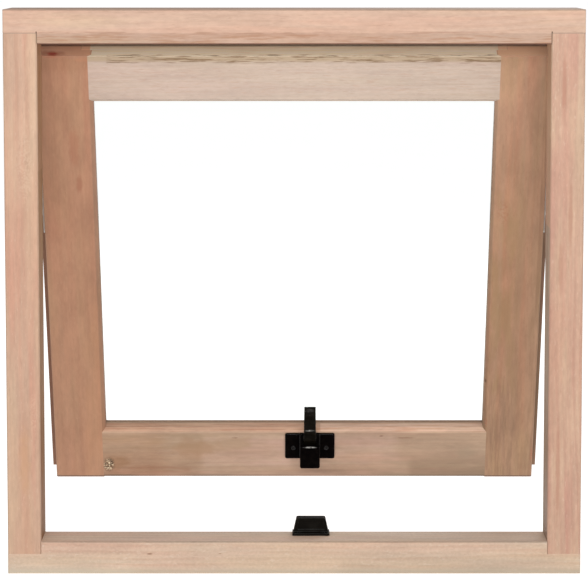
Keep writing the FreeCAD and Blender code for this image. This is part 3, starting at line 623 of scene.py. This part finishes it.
rightStileTimber = {
    **leftStileTimber,
    "pale": rgb(166, 131, 105),
    "late": rgb(151, 112, 87),
    "blush": rgb(170, 122, 95),
    "straw": rgb(164, 133, 101),
    "bands": (60, 60, 1.8),
    "blushDepth": 0.75,
    "strawDepth": 0.7,
    "cloudDepth": 0.09,
    "poreDepth": 0.25,
    "seed": 47.0,
    "heart": (0.30, 0.06),
    "patches": [
        # brown streaks by the outer arris, then the edge by the glass and the lip, both darkened as painted
        # shade, then the face
        painted((0.2700, -0.02, -0.60), (0.2745, 0.0, 0.01), (128, 98, 76), 0.4, 0.001,
                streaks=(160, 160, 6), ramp=(0.4, 0.56)),
        painted((0.2470, -0.02, -0.60), (0.2720, 0.0, -0.02), (138, 110, 84), 0.3, 0.004,
                streaks=(110, 110, 11), ramp=(0.44, 0.62)),
        toned((0.2150, -0.02, -0.60), (0.2195, 0.0, -0.02), (0.78, 0.82, 0.84), 0.0006),
        toned((0.2752, -0.02, -0.60), (0.30, 0.04, 0.01), (0.66, 0.68, 0.72), 0.0004),
        painted((0.2170, -0.02, -0.42), (0.2500, 0.0, -0.16), (150, 122, 86), 0.5, 0.008,
                streaks=(60, 60, 14), ramp=(0.4, 0.62)),
        *stileTop(0.20, 0.30, (252, 214, 176)),
        toned((0.20, -0.02, -0.1000), (0.28, 0.0, 0.0058), (1.22, 1.23, 1.31), 0.04),
        toned((0.20, -0.02, -0.60), (0.28, 0.0, -0.4200), (0.93, 0.91, 0.91), 0.06),
        painted((0.2190, -0.02, -0.535), (0.2560, 0.0, -0.40), (122, 95, 76), 0.3, 0.008,
                streaks=(340, 340, 30), ramp=(0.42, 0.62)),
        painted((0.20, -0.02, -0.54), (0.28, 0.0, -0.5300), (104, 86, 76), 0.85, 0.0005),
        toned((0.2200, -0.02, -0.2400), (0.2450, 0.0, -0.1400), (1.09, 1.08, 1.09), 0.012),
    ],
    "marks": [
        mark((0.2742, -0.0125, -0.500), (0.0022, 0.01, 0.014), (178, 92, 64), 0.4,
             ragged=0.8, speckle=520),
        mark((0.2200, -0.0115, -0.458), (0.0022, 0.01, 0.009), (170, 84, 58), 0.4,
             ragged=0.8, speckle=620),
        mark((0.2310, -0.0125, -0.184), (0.0090, 0.01, 0.020), (158, 108, 80), 0.35,
             ragged=1.0, speckle=360),
        mark((0.2180, -0.0125, -0.4026), (0.0016, 0.006, 0.0040), (70, 44, 30), 0.85, ragged=0.5),
    ],
}
cutTimber("right_stile", rightStileTimber, True, "up")

topRailTimber = {
    **plainPine,
    "pale": rgb(183, 165, 151),
    "late": rgb(173, 151, 136),
    "blush": rgb(182, 154, 144),
    "straw": rgb(182, 164, 146),
    "fleck": rgb(198, 183, 170),
    "arris": rgb(176, 156, 128),
    "arrisDepth": 0.2,
    "jointDepth": 0.25,
    "ringDepth": 0.25,
    "seed": 52.0,
    "heart": (0.10, 0.05),
    "patches": [
        # a straw band on the upper arris, then the top, with painted light in front and painted shade behind
        # it under the head
        painted((-0.24, -0.02, -0.0004), (0.24, 0.03, 0.02), (172, 151, 124), 0.8, 0.0022, wobble=0.004),
        painted((-0.24, -0.02, 0.00585), (0.24, 0.03, 0.02), (254, 248, 224), 1.0, 0.0001),
        painted((-0.26, -0.006, 0.00585), (-0.2190, 0.04, 0.02), (246, 200, 168), 0.95, 0.0001),
        painted((0.2190, -0.006, 0.00585), (0.26, 0.04, 0.02), (252, 214, 176), 0.95, 0.0001),
        painted((-0.24, -0.02, 0.00585), (0.24, 0.03, 0.02), (206, 172, 136), 0.3, 0.0001,
                streaks=(18, 420, 60), ramp=(0.46, 0.66)),
        painted((-0.26, 0.0100, 0.0050), (0.26, 0.04, 0.02), (150, 112, 80), 0.5, 0.006),
        painted((-0.26, 0.0125, 0.0056), (0.26, 0.04, 0.02), (44, 26, 12), 1.0, 0.0015),
        # brown streaks along the band and the face below it
        painted((-0.20, -0.02, -0.0020), (0.24, -0.0080, 0.0070), (112, 86, 56), 0.75, 0.0015,
                streaks=(48, 340, 800), ramp=(0.48, 0.62), wobble=0.004),
        painted((-0.22, -0.02, -0.042), (0.24, 0.0, -0.006), (178, 150, 132), 0.45, 0.004,
                streaks=(60, 300, 520), ramp=(0.52, 0.66)),
        # the top made lighter still, as painted light
        toned((-0.24, -0.02, 0.00585), (0.24, 0.03, 0.02), (1.11, 1.14, 1.16), 0.0001),
    ],
}
cutTimber("top_rail", topRailTimber, True, "across")

bottomRailTimber = {
    **plainPine,
    "pale": rgb(171, 145, 122),
    "late": rgb(156, 123, 102),
    "blush": rgb(171, 133, 112),
    "straw": rgb(173, 149, 124),
    "pore": rgb(134, 99, 78),
    "fleck": rgb(187, 161, 138),
    "arris": rgb(152, 122, 100),
    "ringDepth": 0.35,
    "seed": 66.0,
    "heart": (-0.60, 0.05),
    "cloudDepth": 0.12,
    "patches": [
        # the bevel round the glass, lightened as painted light where it faces up, and the darker lower edge
        toned((-0.24, -0.0118, -0.472), (0.24, 0.0, -0.45), (1.36, 1.25, 1.24), 0.0006),
        painted((-0.24, -0.0120, -0.474), (0.24, 0.0, -0.45), (176, 124, 96), 0.6, 0.0008,
                streaks=(18, 500, 500), ramp=(0.5, 0.64)),
        toned((0.03, -0.0118, -0.472), (0.24, 0.0, -0.45), (1.20, 1.30, 1.38), 0.0006),
        toned((-0.24, -0.02, -0.545), (0.24, 0.0, -0.5245), (0.84, 0.83, 0.84), 0.005),
        toned((0.03, -0.02, -0.545), (0.24, 0.0, -0.5180), (0.88, 0.89, 0.87), 0.006),
        painted((-0.24, -0.02, -0.54), (0.24, 0.0, -0.5291), (112, 98, 84), 0.8, 0.0006),
        # brown and pink streaks along the face
        painted((-0.215, -0.02, -0.527), (-0.12, 0.0, -0.516), (152, 116, 92), 0.6, 0.004,
                streaks=(12, 60, 110), ramp=(0.36, 0.56)),
        painted((-0.06, -0.02, -0.515), (0.12, 0.0, -0.478), (186, 152, 136), 0.5, 0.01,
                streaks=(16, 60, 60), ramp=(0.36, 0.6)),
        # a painted highlight along the arris where the face meets the bevel
        toned((-0.24, -0.0130, -0.4716), (0.24, -0.0110, -0.4694), (1.28, 1.26, 1.28), 0.0004),
        painted((-0.24, -0.02, -0.54), (0.24, 0.0, -0.5225), (196, 156, 136), 0.4, 0.004,
                streaks=(9, 60, 60), ramp=(0.4, 0.6)),
        painted((-0.24, -0.02, -0.50), (-0.05, 0.0, -0.474), (150, 124, 92), 0.4, 0.006,
                streaks=(12, 60, 90), ramp=(0.42, 0.62)),
        painted((0.10, -0.02, -0.535), (0.23, 0.0, -0.500), (156, 133, 110), 0.5, 0.008,
                streaks=(14, 60, 70), ramp=(0.36, 0.58)),
        # a browner left end, a lighter middle and a darker lower right corner
        toned((-0.24, -0.02, -0.54), (-0.1500, 0.0, -0.4725), (0.975, 0.90, 0.86), 0.012),
        toned((-0.24, -0.02, -0.54), (-0.1080, 0.0, -0.4990), (0.93, 0.88, 0.84), 0.008),
        toned((-0.24, -0.02, -0.54), (-0.1600, 0.0, -0.5120), (0.93, 0.92, 0.92), 0.006),
        toned((-0.1060, -0.02, -0.5180), (-0.0050, 0.0, -0.4735), (1.11, 1.11, 1.17), 0.005,
              wobble=0.02),
        toned((0.0350, -0.02, -0.5020), (0.1180, 0.0, -0.4735), (1.09, 1.11, 1.16), 0.008),
        toned((0.1330, -0.02, -0.54), (0.24, 0.0, -0.5100), (0.82, 0.80, 0.78), 0.006),
    ],
    "marks": [
        # nicks and stains, then the rough knot in the lower left corner
        mark((0.1005, -0.0125, -0.4760), (0.0036, 0.01, 0.0011), (112, 76, 56), 0.75,
             ragged=1.0, ragScale=400),
        mark((0.1270, -0.0125, -0.4785), (0.0150, 0.01, 0.0009), (132, 92, 70), 0.65,
             ragged=1.0, ragScale=300),
        mark((-0.0679, -0.0125, -0.4785), (0.0040, 0.01, 0.0012), (134, 100, 76), 0.6,
             ragged=1.4, ragScale=400),
        mark((0.1980, -0.0125, -0.4992), (0.0140, 0.01, 0.0100), (154, 134, 112), 0.5, ragged=1.2),
        mark((-0.1150, -0.0125, -0.4930), (0.0340, 0.01, 0.0170), (156, 122, 94), 0.55, ragged=1.3),
        mark((-0.2050, -0.0125, -0.5130), (0.021, 0.01, 0.012), (132, 94, 62), 0.5, ragged=1.2),
        mark((-0.2145, -0.0125, -0.5150), (0.0085, 0.01, 0.0125), (92, 62, 38), 0.65, ragged=0.7),
        mark((-0.2148, -0.0125, -0.5155), (0.0076, 0.01, 0.0115), (226, 204, 170), 0.95,
             ragged=0.6, speckle=620),
        mark((-0.2148, -0.0125, -0.5155), (0.0080, 0.01, 0.0120), (52, 34, 22), 0.9,
             ragged=0.6, speckle=520),
    ],
}
cutTimber("bottom_rail", bottomRailTimber, True, "across")

beadTimber = {
    **plainPine,
    "pale": rgb(190, 158, 134),
    "late": rgb(170, 134, 110),
    "seed": 71.0,
}
beadGrains = {"top_bead": "across", "bottom_bead": "across", "left_bead": "up", "right_bead": "up"}
for bead, grain in beadGrains.items():
    cutTimber(bead, beadTimber, True, grain)
print("sash timber cut")


# clear float glass in the sash

glassLook = {
    "tint": (0.985, 0.995, 0.99),
    "smudge": 0.02,
    "ripple": 0.05,
    "rippleDepth": 0.0004,
    "bending": 1.45,
}


def glassMaterial(look):
    material, tree, shader = newMaterial("floatGlass")
    tree.nodes.remove(shader)
    space = tree.nodes.new("ShaderNodeTexCoord").outputs["Object"]
    clear = tree.nodes.new("ShaderNodeBsdfTransparent")
    clear.inputs["Color"].default_value = (*look["tint"], 1)
    shine = tree.nodes.new("ShaderNodeBsdfGlossy")
    smudge = noise(tree, space, (14, 14, 9), seed=3.0, detail=4.0)
    tree.links.new(fade(tree, smudge, 0.4, 0.8, 0.0, look["smudge"]), shine.inputs["Roughness"])
    ripple = tree.nodes.new("ShaderNodeBump")
    ripple.inputs["Strength"].default_value = look["ripple"]
    ripple.inputs["Distance"].default_value = look["rippleDepth"]
    tree.links.new(noise(tree, space, 8.0, seed=6.0, detail=1.0), ripple.inputs["Height"])
    tree.links.new(ripple.outputs["Normal"], shine.inputs["Normal"])
    # a face shines from outside only, so no light is trapped in the pane
    edge = tree.nodes.new("ShaderNodeFresnel")
    edge.inputs["IOR"].default_value = look["bending"]
    inside = tree.nodes.new("ShaderNodeNewGeometry").outputs["Backfacing"]
    outside = calc(tree, "SUBTRACT", 1.0, inside)
    mix = tree.nodes.new("ShaderNodeMixShader")
    tree.links.new(calc(tree, "MULTIPLY", edge.outputs[0], outside), mix.inputs[0])
    tree.links.new(clear.outputs[0], mix.inputs[1])
    tree.links.new(shine.outputs[0], mix.inputs[2])
    tree.links.new(mix.outputs[0], tree.nodes["Material Output"].inputs["Surface"])
    return material


dress("glass_pane", glassMaterial(glassLook))


# steel stays, their plastic shoes and the black catch

steelLook = {
    "colour": (0.60, 0.60, 0.58),
    "dull": (0.42, 0.41, 0.39),
    "roughness": 0.26,
    "brushDepth": 0.2,
    "relief": 0.2,
    "reliefDepth": 0.0001,
}


def steelMaterial(look):
    material, tree, shader = newMaterial("brushedSteel")
    space = tree.nodes.new("ShaderNodeTexCoord").outputs["Object"]
    brush = noise(tree, space, (900, 900, 24), seed=2.0)
    cloud = noise(tree, space, 60, seed=5.0)
    colour = mixColour(tree, fade(tree, cloud, 0.4, 0.7, 0.0, 0.6), look["colour"], look["dull"])
    tree.links.new(colour, shader.inputs["Base Color"])
    shader.inputs["Metallic"].default_value = 1.0
    rough = calc(tree, "ADD", look["roughness"], calc(tree, "MULTIPLY", brush, look["brushDepth"]))
    tree.links.new(rough, shader.inputs["Roughness"])
    bump = tree.nodes.new("ShaderNodeBump")
    bump.inputs["Strength"].default_value = look["relief"]
    bump.inputs["Distance"].default_value = look["reliefDepth"]
    tree.links.new(brush, bump.inputs["Height"])
    tree.links.new(bump.outputs["Normal"], shader.inputs["Normal"])
    return material


steel = steelMaterial(steelLook)
for stayPiece in ("track", "arm", "sash_bar"):
    dress("left_" + stayPiece, steel)
    dress("right_" + stayPiece, steel)

shoeLook = {
    "colour": (0.020, 0.020, 0.021),
    "worn": (0.060, 0.060, 0.060),
    "roughness": 0.55,
    "wornRoughness": 0.38,
    "relief": 0.3,
    "reliefDepth": 0.0001,
}


def shoeMaterial(look):
    material, tree, shader = newMaterial("mouldedShoe")
    space = tree.nodes.new("ShaderNodeTexCoord").outputs["Object"]
    grit = noise(tree, space, 1600, seed=4.0, detail=2.0)
    rubbed = noise(tree, space, (120, 120, 30), seed=7.0)
    colour = mixColour(tree, fade(tree, rubbed, 0.5, 0.75), look["colour"], look["worn"])
    tree.links.new(colour, shader.inputs["Base Color"])
    rough = fade(tree, rubbed, 0.4, 0.7, look["roughness"], look["wornRoughness"])
    tree.links.new(rough, shader.inputs["Roughness"])
    bump = tree.nodes.new("ShaderNodeBump")
    bump.inputs["Strength"].default_value = look["relief"]
    bump.inputs["Distance"].default_value = look["reliefDepth"]
    tree.links.new(grit, bump.inputs["Height"])
    tree.links.new(bump.outputs["Normal"], shader.inputs["Normal"])
    return material


shoePlastic = shoeMaterial(shoeLook)
dress("left_shoe", shoePlastic)
dress("right_shoe", shoePlastic)

catchLook = {
    "colour": (0.0014, 0.0008, 0.0008),
    "dusty": (0.0030, 0.0020, 0.0017),
    "dust": 140,  # cells per metre, as are the next two
    "peel": 1500,
    "breaks": 420,
    "roughness": 0.26,
    "unevenness": 0.1,
    "smoothing": 0.12,  # comes off the roughness where an edge or a rub is polished
    "shine": 0.011,
    "edgeShine": 0.5,
    "softEdge": 0.0008,
    "relief": 0.22,
    "reliefDepth": 0.0001,
    "rubsAndGlints": [
        # paint worn thin to grey on the lever's bend and the case's top arris, painted there as glints, and a
        # painted sheen on the curled tip
        {"at": (0.018, -0.0285, -0.4592), "size": (0.0065, 0.008, 0.0016), "strength": 0.9, "ragged": 0.7,
         "ragScale": 500, "bare": (0.30, 0.29, 0.27)},
        {"at": (0.018, -0.034, -0.4310), "size": (0.0075, 0.010, 0.0050), "strength": 0.5, "ragged": 0.5,
         "bare": (0.05, 0.05, 0.05)},
        {"at": (0.018, -0.0380, -0.4750), "size": (0.0085, 0.0022, 0.0011), "strength": 0.9, "ragged": 0.6,
         "ragScale": 500, "bare": (0.30, 0.29, 0.27)},
    ],
}


def blackMaterial(name, look, seed):
    material, tree, shader = newMaterial(name)
    space = tree.nodes.new("ShaderNodeTexCoord").outputs["Object"]
    cloud = noise(tree, space, look["dust"], seed)
    peel = noise(tree, space, look["peel"], seed + 3, 2.0)
    colour = mixColour(tree, fade(tree, cloud, 0.45, 0.7), look["colour"], look["dusty"])
    soft = tree.nodes.new("ShaderNodeBevel")
    soft.samples = 6
    soft.inputs["Radius"].default_value = look["softEdge"]
    plain = tree.nodes.new("ShaderNodeNewGeometry").outputs["Normal"]
    facing = vectorCalc(tree, "DOT_PRODUCT", soft.outputs["Normal"], plain, "Value")
    polish = fade(tree, facing, 0.90, 0.995, 1.0, 0.0)
    sashed = pieceSpace(tree, True)
    broken = fade(tree, noise(tree, space, look["breaks"], seed + 9, 2.0), 0.35, 0.6, 0.25, 1.0)
    # each rub mixes in grey worn paint, which also serves as a painted glint or sheen
    for index, rub in enumerate(look["rubsAndGlints"]):
        worn = calc(tree, "MULTIPLY", blotch(tree, sashed, rub, seed + 5 + index), broken)
        polish = calc(tree, "MAXIMUM", polish, worn)
        colour = mixColour(tree, worn, colour, rub["bare"])
    rough = calc(tree, "ADD", look["roughness"], calc(tree, "MULTIPLY", cloud, look["unevenness"]))
    rough = calc(tree, "SUBTRACT", rough, calc(tree, "MULTIPLY", polish, look["smoothing"]))
    tree.links.new(rough, shader.inputs["Roughness"])
    shine = calc(tree, "ADD", look["shine"], calc(tree, "MULTIPLY", polish, look["edgeShine"]))
    tree.links.new(shine, shader.inputs["Specular IOR Level"])
    tree.links.new(colour, shader.inputs["Base Color"])
    bump = tree.nodes.new("ShaderNodeBump")
    bump.inputs["Strength"].default_value = look["relief"]
    bump.inputs["Distance"].default_value = look["reliefDepth"]
    tree.links.new(peel, bump.inputs["Height"])
    tree.links.new(soft.outputs["Normal"], bump.inputs["Normal"])
    tree.links.new(bump.outputs["Normal"], shader.inputs["Normal"])
    return material


screwLook = {
    **catchLook,
    "shine": 0.15,
    "roughness": 0.24,
    "rubsAndGlints": [],
}
catchBlack = blackMaterial("catchBlack", catchLook, 4.0)
screwBlack = blackMaterial("screwBlack", screwLook, 6.0)

leverLook = {
    **catchLook,
    "colour": (0.0040, 0.0031, 0.0020),
    "dusty": (0.0078, 0.0063, 0.0044),
    "shine": 0.04,
}
dress("catch_lever", blackMaterial("leverBlack", leverLook, 5.0))
dress("catch_case", catchBlack)
dress("catch_pin", catchBlack)

keeperLook = {
    **catchLook,
    "colour": (0.0068, 0.0056, 0.0043),
    "dusty": (0.0110, 0.0092, 0.0072),
    "roughness": 0.38,
    "shine": 0.020,
    "edgeShine": 0.35,
    "rubsAndGlints": [],
}
dress("keeper", blackMaterial("keeperBlack", keeperLook, 9.0))
print("glass and metal finished")


# screws of the catch, the keeper and the stays

bothSides = {"left": -1, "right": 1}
screwSides = 24
recessTaper = 0.6
screwProfile = ((0.72, 0.93), (0.9, 0.6), (1.0, 0.0))  # shares of the radius and of the dome


def screwHead(name, place, facing, look, material, body):
    # a countersunk head with a cross recess, its flat side on the place given
    bm = bmesh.new()
    radius, dome, sink = look["radius"], look["dome"], look["recessDepth"]
    arm, wing = look["recessLength"] / 2, look["recessWidth"] / 2
    cross = [(wing, wing), (wing, arm), (-wing, arm), (-wing, wing), (-arm, wing), (-arm, -wing),
             (-wing, -wing), (-wing, -arm), (wing, -arm), (wing, -wing), (arm, -wing), (arm, wing)]
    top = [bm.verts.new((x, y, dome)) for x, y in cross]
    low = [bm.verts.new((x * recessTaper, y * recessTaper, dome - sink)) for x, y in cross]
    angles = [i * math.tau / screwSides for i in range(screwSides)]
    circle = [(radius * math.cos(angle), radius * math.sin(angle)) for angle in angles]
    rim = [[bm.verts.new((x * share, y * share, dome * height)) for x, y in circle]
           for share, height in screwProfile]
    inner = [bm.edges.new(pair) for pair in zip(top, top[1:] + top[:1])]
    outer = [bm.edges.new(pair) for pair in zip(rim[0], rim[0][1:] + rim[0][:1])]
    bmesh.ops.triangle_fill(bm, edges=inner + outer, use_beauty=True)
    for first, second in [(top, low)] + list(zip(rim, rim[1:])):
        for i in range(len(first)):
            after = (i + 1) % len(first)
            bm.faces.new((first[i], first[after], second[after], second[i]))
    bm.faces.new(low)
    bmesh.ops.recalc_face_normals(bm, faces=bm.faces)
    turned = Vector(facing).to_track_quat("Z", "Y").to_matrix().to_4x4()
    bm.transform(Matrix.Translation(place) @ turned @ Matrix.Rotation(look["spin"], 4, "Z"))
    mesh = bpy.data.meshes.new(name)
    bm.to_mesh(mesh)
    bm.free()
    mesh.materials.append(material)
    screw = bpy.data.objects.new(name, mesh)
    bpy.context.scene.collection.objects.link(screw)
    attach(screw, body)


catchScrew = {
    "radius": 0.0029,
    "dome": 0.0005,
    "recessDepth": 0.0011,
    "recessLength": 0.0033,
    "recessWidth": 0.0009,
    "spin": 0.4,
    "spread": 0.0187,  # each side of the catch's middle
    "offset": 0.018,
    "faceY": -0.0151,
    "height": -0.4905,  # below the sash's shoe pivot
}
outOfSash = fromSash.to_3x3() @ Vector((0, -1, 0))
for side, sign in bothSides.items():
    across = catchScrew["offset"] + sign * catchScrew["spread"]
    spot = fromSash @ Vector((across, catchScrew["faceY"], catchScrew["height"]))
    screwHead("catch_screw_" + side, spot, outOfSash, catchScrew, screwBlack, "sash")

keeperScrew = {
    **catchScrew,
    "radius": 0.0027,
    "spread": 0.0125,
    "y": -0.0157,
    "z": 0.0372,
    "spin": 0.9,
}
for side, sign in bothSides.items():
    spot = (keeperScrew["offset"] + sign * keeperScrew["spread"], keeperScrew["y"], keeperScrew["z"])
    screwHead("keeper_screw_" + side, spot, (0, 0, 1), keeperScrew, screwBlack, "frame")

stayScrew = {
    "radius": 0.0031,
    "dome": 0.0007,
    "recessDepth": 0.0012,
    "recessLength": 0.0036,
    "recessWidth": 0.0009,
    "trackX": 0.2853,
    "trackHeights": (0.412, 0.462, 0.512),
    "barX": 0.2774,
    "barHeights": (-0.030, -0.135, -0.190),
}
for side, sign in bothSides.items():
    for index, height in enumerate(stayScrew["trackHeights"]):
        spot = (sign * stayScrew["trackX"], sashSeat["pivot"].y, height)
        look = {**stayScrew, "spin": 0.3 + index * 0.7}
        name = "%s_track_screw_%d" % (side, index + 1)
        screwHead(name, spot, (-sign, 0, 0), look, steel, "frame")
    for index, height in enumerate(stayScrew["barHeights"]):
        spot = fromSash @ Vector((sign * stayScrew["barX"], 0, height))
        look = {**stayScrew, "spin": 0.5 + index * 0.9}
        name = "%s_bar_screw_%d" % (side, index + 1)
        screwHead(name, spot, (sign, 0, 0), look, steel, "sash")
print("screws driven")

beadPin = {
    "sides": 14,
    "radius": 0.0008,
    "narrowing": 0.8,
    "rise": 0.0002,
    "along": (0.09, 0.36, 0.64, 0.91),  # shares of the bead's length
    "standOff": 0.02,
}


def beadPinHead(name, bead, start, look):
    # a small flat head on the bead's outdoor face, found by looking in from outdoors
    inward = -fromSash.to_3x3().col[1]
    _, place, normal, _ = nodes[bead].ray_cast(fromSash @ start, inward)
    bm = bmesh.new()
    bmesh.ops.create_cone(bm, cap_ends=True, segments=look["sides"], radius1=look["radius"],
                          radius2=look["radius"] * look["narrowing"], depth=look["rise"] * 2)
    bm.transform(Matrix.Translation(place) @ normal.to_track_quat("Z", "Y").to_matrix().to_4x4())
    mesh = bpy.data.meshes.new(name)
    bm.to_mesh(mesh)
    bm.free()
    mesh.materials.append(steel)
    pin = bpy.data.objects.new(name, mesh)
    bpy.context.scene.collection.objects.link(pin)
    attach(pin, "sash")


for bead, grain in beadGrains.items():
    limits = memberBox(bead, True, "up")
    length = 0 if grain == "across" else 2
    for index, share in enumerate(beadPin["along"]):
        start = Vector([(low + high) / 2 for low, high in limits])
        start[length] = limits[length][0] + share * (limits[length][1] - limits[length][0])
        start.y = limits[1][1] + beadPin["standOff"]  # outdoors of the bead, and looking back at it
        beadPinHead("%s_pin_%d" % (bead, index + 1), bead, start, beadPin)
print("beads pinned")
